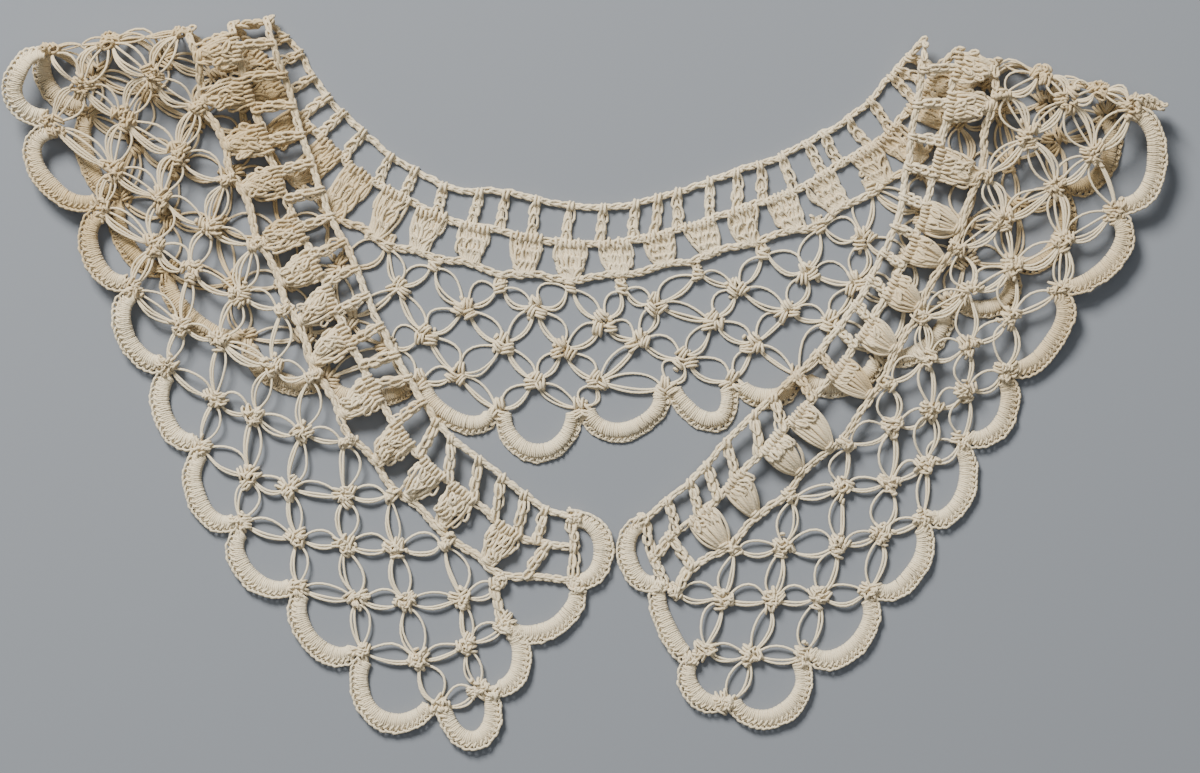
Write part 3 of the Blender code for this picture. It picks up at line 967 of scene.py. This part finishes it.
def stitch_shapes():
    """The collection of stitch curves that Geometry Nodes pick from, in the order of SHAPES."""
    group = bpy.data.collections.get(SHAPES_NAME)
    if group:
        return group
    group = bpy.data.collections.new(SHAPES_NAME)
    bpy.context.scene.collection.children.link(group)
    for shape in SHAPES:
        points, cyclic = STITCH_CURVES[shape]
        curve = bpy.data.curves.new(f"Stitch {shape}", "CURVE")
        curve.dimensions = "3D"
        spline = curve.splines.new("POLY")
        spline.points.add(len(points) - 1)
        for mark, point in zip(spline.points, points):
            mark.co = (*point, 1.0)
        spline.use_cyclic_u = cyclic
        group.objects.link(bpy.data.objects.new(f"Stitch {shape}", curve))
    return group


# ---- Building node trees ----


class Nodes:
    """A node tree in the making.  Each call adds a node and gives an output, or all of them."""

    def __init__(self, tree):
        self.tree = tree

    def add(self, kind, output, inputs=None, **settings):
        """A node with its settings, and its inputs set or linked by name or number."""
        node = self.tree.nodes.new(kind)
        for name, value in settings.items():
            setattr(node, name, value)
        for key, value in (inputs or {}).items():
            socket = node.inputs[key] if isinstance(key, int) else next(
                s for s in node.inputs if s.name == key and s.enabled)
            if isinstance(value, bpy.types.NodeSocket):
                self.tree.links.new(value, socket)
            else:
                socket.default_value = value
        return node.outputs[output] if output else node.outputs

    def number(self, operation, *values):
        return self.add("ShaderNodeMath", "Value", dict(enumerate(values)), operation=operation)

    def vector(self, operation, *values):
        return self.add(
            "ShaderNodeVectorMath", "Vector", dict(enumerate(values)), operation=operation)

    def noise(self, place, scale, detail):
        return self.add(
            "ShaderNodeTexNoise", None, {"Vector": place, "Scale": scale, "Detail": detail})

    def mix(self, amount, first, second):
        return self.add(
            "ShaderNodeMix", 2, {0: amount, 6: first, 7: second}, data_type="RGBA")

    def read(self, name, kind):
        """An attribute of the geometry."""
        return self.add(
            "GeometryNodeInputNamedAttribute", "Attribute", {"Name": name}, data_type=kind)

    def store(self, geometry, name, kind, value):
        return self.add(
            "GeometryNodeStoreNamedAttribute", "Geometry",
            {"Geometry": geometry, "Name": name, "Value": value}, data_type=kind,
            domain="POINT")


def node_group(name, kind, inputs, outputs, build):
    """The node group with a name. It is built if it isn't there yet."""
    group = bpy.data.node_groups.get(name)
    if group:
        return group
    group = bpy.data.node_groups.new(name, kind)
    for in_out, sockets in (("INPUT", inputs), ("OUTPUT", outputs)):
        for label, value in sockets.items():
            group.interface.new_socket(
                name=label, in_out=in_out, socket_type=f"NodeSocket{value}")
    given = group.nodes.new("NodeGroupInput").outputs
    result = group.nodes.new("NodeGroupOutput").inputs
    for label, socket in build(Nodes(group), given).items():
        group.links.new(socket, result[label])
    return group


# ---- Geometry Nodes: from the plan to thread ----

THREADS_NAME = "Lace threads"
WOBBLE_DETAIL = 0.4
SEED_RANGE = 97
THREAD_INPUTS = {
    "Plan": "Geometry", "Stitches": "Collection", "Thread Radius": "Float",
    "Thread Sides": "Int", "Curve Steps": "Int", "Wobble": "Float", "Wobble Scale": "Float",
    "Unevenness": "Float", "Seed": "Float", "Material": "Material"}


def build_threads(nodes, given):
    """Sets a curve for each stitch of a plan, lays it on the form and makes it thread."""
    # One curve for each point of the plan, turned and sized.
    points = nodes.add("GeometryNodeMeshToPoints", "Points", {"Mesh": given["Plan"]})
    shapes = nodes.add(
        "GeometryNodeCollectionInfo", "Instances",
        {"Collection": given["Stitches"], "Separate Children": True, "Reset Children": True})
    curves = nodes.add(
        "GeometryNodeInstanceOnPoints", "Instances",
        {"Points": points, "Instance": shapes, "Pick Instance": True,
         "Instance Index": nodes.read("stitch", "INT"),
         "Rotation": nodes.read("turn", "FLOAT_VECTOR"),
         "Scale": nodes.read("size", "FLOAT_VECTOR")})
    curves = nodes.add("GeometryNodeRealizeInstances", "Geometry", {"Geometry": curves})

    # The hand's unevenness, kept above the surface that the collar lies on.
    here = nodes.add("GeometryNodeInputPosition", "Position")
    noise = nodes.noise(
        nodes.vector("ADD", here, given["Seed"]), given["Wobble Scale"], WOBBLE_DETAIL)
    centred = nodes.vector("SUBTRACT", noise["Color"], (0.5, 0.5, 0.5))
    sway = nodes.add(
        "ShaderNodeVectorMath", "Vector", {"Vector": centred, "Scale": given["Wobble"]},
        operation="SCALE")
    swayed = nodes.add(
        "ShaderNodeSeparateXYZ", None, {"Vector": nodes.vector("ADD", here, sway)})
    stout = nodes.read("stout", "FLOAT")
    radius = nodes.number("MULTIPLY", given["Thread Radius"], stout)
    settled = nodes.add(
        "ShaderNodeCombineXYZ", "Vector",
        {"X": swayed["X"], "Y": swayed["Y"], "Z": nodes.number("MAXIMUM", swayed["Z"], radius)})
    curves = nodes.add(
        "GeometryNodeSetPosition", "Geometry", {"Geometry": curves, "Position": settled})

    # Smooth curves, thicker and thinner along their length, and a round thread on them.
    curves = nodes.add(
        "GeometryNodeCurveSplineType", "Curve", {"Curve": curves}, spline_type="CATMULL_ROM")
    curves = nodes.add(
        "GeometryNodeSetSplineResolution", "Geometry",
        {"Geometry": curves, "Resolution": given["Curve Steps"]})
    along = nodes.add("GeometryNodeSplineParameter", "Length")
    curves = nodes.store(curves, "along", "FLOAT", along)
    change = nodes.number(
        "MULTIPLY", nodes.number("SUBTRACT", noise["Fac"], 0.5), given["Unevenness"])
    thickness = nodes.number("MULTIPLY", nodes.number("ADD", change, 1.0), stout)
    profile = nodes.add(
        "GeometryNodeCurvePrimitiveCircle", "Curve",
        {"Resolution": given["Thread Sides"], "Radius": given["Thread Radius"]})
    rim = nodes.vector("NORMALIZE", nodes.add("GeometryNodeInputPosition", "Position"))
    profile = nodes.store(profile, "around", "FLOAT_VECTOR", rim)
    thread = nodes.add(
        "GeometryNodeCurveToMesh", "Mesh",
        {"Curve": curves, "Profile Curve": profile, "Scale": thickness, "Fill Caps": True})
    thread = nodes.add("GeometryNodeSetShadeSmooth", "Geometry", {"Geometry": thread})
    thread = nodes.add("GeometryNodeRealizeInstances", "Geometry", {"Geometry": thread})
    thread = nodes.add(
        "GeometryNodeSetMaterial", "Geometry",
        {"Geometry": thread, "Material": given["Material"]})
    return {"Thread": thread}


# What the thread has no use for once it is a mesh.
WORKING_ATTRIBUTES = ("turn", "size", "stout", "stitch", "radius", "tilt")
COTTON_INPUTS = (
    "Thread Radius", "Thread Sides", "Curve Steps", "Wobble", "Wobble Scale", "Unevenness")


def add_object(name, data):
    item = bpy.data.objects.new(name, data)
    bpy.context.scene.collection.objects.link(item)
    return item


def plan_mesh(name, stitches):
    """A mesh of one point for each stitch, which carries what Geometry Nodes need of it."""
    mesh = bpy.data.meshes.new(name)
    mesh.from_pydata([Vector(s.point) * MM for s in stitches], [], [])
    for label, kind, values in (
            ("stitch", "INT", [s.shape for s in stitches]),
            ("turn", "FLOAT_VECTOR", [s.turn for s in stitches]),
            ("size", "FLOAT_VECTOR", [Vector(s.size) * MM for s in stitches]),
            ("stout", "FLOAT", [s.stout for s in stitches]),
            ("tan", "FLOAT", [s.tan for s in stitches])):
        attribute = mesh.attributes.new(label, kind, "POINT")
        field = "vector" if kind == "FLOAT_VECTOR" else "value"
        attribute.data.foreach_set(field, np.asarray(values).ravel())
    return mesh


def knit(name, stitches, material, cotton):
    """Makes the piece that a list of stitches describes, as one plain mesh."""
    holder = add_object(f"{name} plan", plan_mesh(f"{name} plan", stitches))
    modifier = holder.modifiers.new(THREADS_NAME, "NODES")
    modifier.node_group = node_group(
        THREADS_NAME, "GeometryNodeTree", THREAD_INPUTS, {"Thread": "Geometry"}, build_threads)
    inputs = {
        "Stitches": stitch_shapes(), "Seed": float(len(stitches) % SEED_RANGE),
        "Material": material}
    for label in COTTON_INPUTS:
        inputs[label] = getattr(cotton, label.lower().replace(" ", "_"))
    for socket in modifier.node_group.interface.items_tree:
        if socket.name in inputs:
            modifier[socket.identifier] = inputs[socket.name]
    holder.update_tag()
    graph = bpy.context.evaluated_depsgraph_get()
    thread = bpy.data.meshes.new_from_object(
        holder.evaluated_get(graph), preserve_all_data_layers=True, depsgraph=graph)
    thread.name = name
    for old in WORKING_ATTRIBUTES:
        if old in thread.attributes:
            thread.attributes.remove(thread.attributes[old])
    bpy.data.objects.remove(holder, do_unlink=True)
    return add_object(name, thread)


# ---- Materials ----

PLIES = 3.0
LAY = 0.0026
FUZZ = 0.35
GROOVE_SHADE = 0.42
PLY_HEIGHT = 0.00007


def build_twist(nodes, given):
    """Height of a cotton thread's twisted plies, from its own length and roundness."""
    around = nodes.add("ShaderNodeAttribute", "Vector", attribute_name="around")
    sides = nodes.add("ShaderNodeSeparateXYZ", None, {"Vector": around})
    angle = nodes.number("ARCTAN2", sides["Y"], sides["X"])
    along = nodes.add("ShaderNodeAttribute", "Fac", attribute_name="along")
    turns = nodes.number("DIVIDE", along, given["Lay"])
    phase = nodes.number("ADD", angle, nodes.number("MULTIPLY", turns, 2 * math.pi))
    phase = nodes.number("MULTIPLY", phase, given["Plies"])
    ridge = nodes.number("SINE", nodes.number("MULTIPLY", phase, 0.5))
    ridge = nodes.number("ABSOLUTE", ridge)
    place = nodes.add("ShaderNodeTexCoord", "Object")
    fibres = nodes.number("MULTIPLY", nodes.noise(place, 9000.0, 2.0)["Fac"], given["Fuzz"])
    return {
        "Height": nodes.number("ADD", ridge, fibres),
        "Groove": nodes.number("SUBTRACT", 1.0, ridge)}


def build_age_and_fold_shade(nodes, given):
    """Cream cotton that takes tan in places, with a fine unevenness of tone. The tan holds the cotton's own tan and
    painted shade at the shoulder folds.
    """
    place = nodes.add("ShaderNodeTexCoord", "Object")
    tan = nodes.add("ShaderNodeAttribute", "Fac", attribute_name="tan")
    patches = nodes.add(
        "ShaderNodeMapRange", "Result",
        {"Value": nodes.noise(place, 90.0, 3.0)["Fac"], "From Min": 0.35, "From Max": 0.75,
         "To Min": 0.0, "To Max": 1.0})
    amount = nodes.number("MULTIPLY", patches, given["Patchiness"])
    amount = nodes.add(
        "ShaderNodeClamp", "Result", {"Value": nodes.number("ADD", amount, tan)})
    speckle = nodes.number("MULTIPLY", nodes.noise(place, 1400.0, 2.0)["Fac"], 0.16)
    toned = nodes.add(
        "ShaderNodeHueSaturation", "Color",
        {"Color": nodes.mix(amount, given["Cream"], given["Tan"]),
         "Value": nodes.number("ADD", speckle, 0.92)})
    return {"Color": toned}


def plain_material(name, **values):
    """A material and its shader's inputs, with some of them set."""
    material = bpy.data.materials.new(name)
    material.use_nodes = True
    shader = material.node_tree.nodes["Principled BSDF"].inputs
    for label, value in values.items():
        shader[label.replace("_", " ")].default_value = value
    return material, shader


def cotton_material(name, settings, patchiness):
    """Twisted crochet cotton, as one round of the collar has aged, with painted shade in its twist grooves and,
    through its tan, at the shoulder folds.
    """
    if name in bpy.data.materials:
        return bpy.data.materials[name]
    material, shader = plain_material(
        name, Roughness=settings.roughness, Sheen_Weight=0.25, Sheen_Roughness=0.6,
        Specular_IOR_Level=0.3)
    nodes = Nodes(material.node_tree)
    cream, tan = tuple(settings.cream), tuple(settings.tan)
    age = node_group(
        "Aged cotton", "ShaderNodeTree",
        {"Cream": "Color", "Tan": "Color", "Patchiness": "Float"}, {"Color": "Color"},
        build_age_and_fold_shade)
    twist = node_group(
        "Twisted thread", "ShaderNodeTree", {"Plies": "Float", "Lay": "Float", "Fuzz": "Float"},
        {"Height": "Float", "Groove": "Float"}, build_twist)
    color = nodes.add(
        "ShaderNodeGroup", "Color", {"Cream": cream, "Tan": tan, "Patchiness": patchiness},
        node_tree=age)
    plies = nodes.add(
        "ShaderNodeGroup", None, {"Plies": PLIES, "Lay": LAY, "Fuzz": FUZZ}, node_tree=twist)
    shade = nodes.number("MULTIPLY", plies["Groove"], GROOVE_SHADE)
    normal = nodes.add(
        "ShaderNodeBump", "Normal",
        {"Strength": 0.5, "Distance": PLY_HEIGHT, "Height": plies["Height"]})
    nodes.tree.links.new(nodes.mix(shade, color, tan), shader["Base Color"])
    nodes.tree.links.new(normal, shader["Normal"])
    return material


# ---- Settings ----


def length_setting(name, description, default):
    return bpy.props.FloatProperty(
        name=name, description=description, default=default, unit="LENGTH", precision=5)


def amount_setting(name, description, default, **limits):
    return bpy.props.FloatProperty(
        name=name, description=description, default=default, **limits)


def count_setting(name, description, default, least):
    return bpy.props.IntProperty(
        name=name, description=description, default=default, min=least)


def color_setting(name, description, default):
    return bpy.props.FloatVectorProperty(
        name=name, description=description, subtype="COLOR", size=4, min=0.0, max=1.0,
        default=(*default, 1.0))


class CottonSettings(bpy.types.PropertyGroup):
    thread_radius: length_setting("Thread radius", "Radius of the crochet cotton", 0.26 * MM)
    thread_sides: count_setting("Thread sides", "Faces around a thread", 5, 3)
    curve_steps: count_setting("Curve steps", "Steps between two points of a stitch", 1, 1)
    wobble: length_setting("Wobble", "How far threads stray from their places", 0.8 * MM)
    wobble_scale: amount_setting(
        "Wobble scale", "How quickly the straying changes from place to place", 160.0)
    unevenness: amount_setting("Unevenness", "How much the thread's thickness varies", 0.45)
    cream: color_setting("Cream", "Colour of the clean cotton", (0.78, 0.685, 0.49))
    # The tan colour also paints shade: in the thread's twist grooves and at the shoulder folds.
    tan: color_setting("Tan", "Colour of the cotton where it has aged most", (0.48, 0.35, 0.17))
    roughness: amount_setting("Roughness", "Roughness of the cotton", 0.8, min=0.0, max=1.0)


class StitchSettings(bpy.types.PropertyGroup):
    chain_pitch: length_setting("Chain pitch", "Length of one chain stitch", 2.15 * MM)
    chain_width: length_setting(
        "Chain width", "Width of a chain stitch, between thread middles", 1.0 * MM)
    bar_width: length_setting("Bar width", "Width of a bar, between thread middles", 2.0 * MM)
    fan_width: length_setting("Fan width", "Width of a fan where it is widest", 7.6 * MM)
    fan_posts: count_setting("Fan posts", "Posts in one fan", 7, 2)
    knot_looseness: length_setting(
        "Knot looseness", "How far a knot of the net is off its place", 0.7 * MM)
    petal_bow: length_setting("Petal bow", "How far a drawn loop of the net bows out", 2.6 * MM)
    rib_pitch: length_setting(
        "Rib pitch", "Distance between the ribs over a scallop's core", 0.46 * MM)
    scallop_pitch: length_setting(
        "Scallop pitch", "Length of one link of a scallop's rim", 1.15 * MM)
    scallop_width: length_setting("Scallop width", "Width of a scallop's band", 4.0 * MM)


class StageSettings(bpy.types.PropertyGroup):
    floor_color: color_setting(
        "Floor", "Colour of the surface under the collar", (0.185, 0.20, 0.222))
    view_width: length_setting(
        "View width", "Width of the surface that the camera sees", 0.2588)
    key_power: amount_setting("Key light", "Power of the large soft light", 39.0)
    fill_strength: amount_setting("Fill", "Strength of the even light from all sides", 0.18)


# ---- Operators ----


def work_round(context, make_plan, round_name, node, cotton, patchiness):
    """Makes the three pieces of one round of crochet, each in its CAD node's place."""
    scene = context.scene
    plan = make_plan(scene.collar_stitches)
    material = cotton_material(cotton, scene.collar_cotton, patchiness)
    slots = {row["node"]: row["material_slot"] for row in frame["record"]["subparts"]}
    for stretch in STRETCHES:
        replaced = f"{node}_{stretch.name}"
        piece = knit(
            f"{round_name}_{stretch.name}", plan.part(stretch), material, scene.collar_cotton)
        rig.ride(piece, "root")
        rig.replaces(piece, replaced)
        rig.slot(piece, slots[replaced])
    return {"FINISHED"}


class COLLAR_OT_neck_chain(bpy.types.Operator):
    """Work the foundation chain along the neck edge"""
    bl_idname = "collar.neck_chain"
    bl_label = "Neck Chain"

    def execute(self, context):
        return work_round(
            context, plan_neck_chain, "chain", "neck_chain", "Chain cotton", 0.18)


class COLLAR_OT_bars(bpy.types.Operator):
    """Work the round of bars and the chain that they end in"""
    bl_idname = "collar.bars"
    bl_label = "Bars"

    def execute(self, context):
        return work_round(context, plan_bars, "bars", "bar_round", "Bar cotton", 0.20)


class COLLAR_OT_fans(bpy.types.Operator):
    """Work the round of fans and the chain that the net hangs from"""
    bl_idname = "collar.fans"
    bl_label = "Fans"

    def execute(self, context):
        return work_round(context, plan_fans, "fans", "fan_round", "Fan cotton", 0.25)


class COLLAR_OT_net(bpy.types.Operator):
    """Work the net of Solomon's knots"""
    bl_idname = "collar.net"
    bl_label = "Knotted Net"

    def execute(self, context):
        return work_round(context, plan_net, "net", "knot_net", "Net cotton", 0.12)


class COLLAR_OT_edging(bpy.types.Operator):
    """Work the scalloped edging"""
    bl_idname = "collar.edging"
    bl_label = "Scalloped Edging"

    def execute(self, context):
        return work_round(
            context, plan_edging, "edging", "scallop_edging", "Edging cotton", 0.15)


CUT_SAMPLES = 8  # a column


def steps_between(points):
    return [(b - a).length for a, b in zip(points, points[1:])]


def net_cut(stretch):
    """Width, length and area of the net's cut on one stretch of the collar, in metres."""
    start, stop = max(stretch.start, LEFT_TIP), min(stretch.stop, RIGHT_TIP)
    columns = np.linspace(start, stop, int(stop - start) * CUT_SAMPLES + 1).tolist()
    tops = [lace_point(column, fan_chain(column)) for column in columns]
    rims = [lace_point(column, 1.0) for column in columns]
    widths = [(rim - top).length for top, rim in zip(tops, rims)]
    top_steps, rim_steps = steps_between(tops), steps_between(rims)
    area = sum(
        (a + b) / 2 * (c + d) / 2
        for a, b, c, d in zip(top_steps, rim_steps, widths, widths[1:]))
    return max(widths) * MM, max(sum(top_steps), sum(rim_steps)) * MM, area * MM * MM


class COLLAR_OT_sheets(bpy.types.Operator):
    """Say what each stretch of the lace was cut to"""
    bl_idname = "collar.sheets"
    bl_label = "Sheets"

    def execute(self, context):
        for stretch in STRETCHES:
            net, *rounds = [
                bpy.data.objects[f"{name}_{stretch.name}"]
                for name in ("net", "chain", "bars", "fans", "edging")]
            width, length, area = net_cut(stretch)
            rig.sheet(
                net, flat=(width, length), held=stretch.held, rests_on=stretch.rests_on,
                area=area, with_pieces=rounds)
        return {"FINISHED"}


SENSOR_WIDTH, LENS = 36.0, 90.0
VIEW_MIDDLE = (0.0031, -0.0002)
FLOOR_SIZE = 8.0
SKY_COLOR = (0.93, 0.96, 1.0, 1.0)

# Round lamps that shine at the collar's middle. share is the part of the key light's power.
LAMPS = table("name place size share color", (
    ("Key light", (-0.45, 0.85, 0.80), 0.48, 1.0, (1.0, 0.98, 0.94)),
    ("Top light", (0.1, 0.0, 1.2), 1.0, 0.08, (0.95, 0.98, 1.0)),
))


class COLLAR_OT_stage(bpy.types.Operator):
    """Set out the floor, the lights and the camera"""
    bl_idname = "collar.stage"
    bl_label = "Stage"

    def execute(self, context):
        settings = context.scene.collar_stage
        mesh = bpy.data.meshes.new("Floor")
        sheet = bmesh.new()
        bmesh.ops.create_grid(sheet, x_segments=1, y_segments=1, size=FLOOR_SIZE / 2)
        sheet.to_mesh(mesh)
        sheet.free()
        material, _ = plain_material(
            "Studio floor", Roughness=0.9, Base_Color=tuple(settings.floor_color))
        mesh.materials.append(material)
        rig.stage(add_object("Floor", mesh))
        for row in LAMPS:
            light = bpy.data.lights.new(row.name, "AREA")
            light.shape, light.size, light.color = "DISK", row.size, row.color
            light.energy = settings.key_power * row.share
            lamp = add_object(row.name, light)
            lamp.location = row.place
            aim = Vector() - Vector(row.place)
            lamp.rotation_euler = aim.to_track_quat("-Z", "Y").to_euler()
        world = bpy.data.worlds.new("Studio")
        world.use_nodes = True
        sky = world.node_tree.nodes["Background"].inputs
        sky["Color"].default_value = SKY_COLOR
        sky["Strength"].default_value = settings.fill_strength
        context.scene.world = world
        lens = bpy.data.cameras.new("Camera")
        lens.lens, lens.sensor_width, lens.clip_start = LENS, SENSOR_WIDTH, 0.01
        camera = add_object("Camera", lens)
        camera.location = (*VIEW_MIDDLE, settings.view_width * LENS / SENSOR_WIDTH)
        context.scene.camera = camera
        return {"FINISHED"}


OPERATORS = (
    COLLAR_OT_neck_chain, COLLAR_OT_bars, COLLAR_OT_fans, COLLAR_OT_net, COLLAR_OT_edging,
    COLLAR_OT_sheets, COLLAR_OT_stage)
SETTINGS = {
    "collar_cotton": CottonSettings, "collar_stitches": StitchSettings,
    "collar_stage": StageSettings}


class COLLAR_PT_panel(bpy.types.Panel):
    """The collar's steps and settings"""
    bl_idname = "COLLAR_PT_panel"
    bl_label = "Crochet Lace Collar"
    bl_space_type = "VIEW_3D"
    bl_region_type = "UI"
    bl_category = "Collar"

    def draw(self, context):
        for step in OPERATORS:
            self.layout.operator(step.bl_idname)
        for name, group in SETTINGS.items():
            column = self.layout.column()
            for setting in group.__annotations__:
                column.prop(getattr(context.scene, name), setting)


CLASSES = (*SETTINGS.values(), *OPERATORS, COLLAR_PT_panel)


def register():
    for item in CLASSES:
        bpy.utils.register_class(item)
    for name, group in SETTINGS.items():
        setattr(bpy.types.Scene, name, bpy.props.PointerProperty(type=group))


def unregister():
    for name in SETTINGS:
        delattr(bpy.types.Scene, name)
    for item in reversed(CLASSES):
        bpy.utils.unregister_class(item)


def remove_helpers():
    """Removes the stitch curves, which aren't part of the collar."""
    shapes = bpy.data.collections[SHAPES_NAME]
    for old in list(shapes.objects):
        bpy.data.objects.remove(old, do_unlink=True)
    bpy.data.collections.remove(shapes)


def write_sizes():
    low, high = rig.bounds()
    with open(SIZE_FILE, "w") as sizes:
        json.dump(
            {"cad": [list(cad_low), list(cad_high)], "visual": [list(low), list(high)]}, sizes)


def main():
    register()
    bpy.ops.collar.neck_chain()
    bpy.ops.collar.bars()
    bpy.ops.collar.fans()
    bpy.ops.collar.net()
    bpy.ops.collar.edging()
    bpy.ops.collar.sheets()
    bpy.ops.collar.stage()
    remove_helpers()
    write_sizes()


if __name__ == "__main__":
    main()
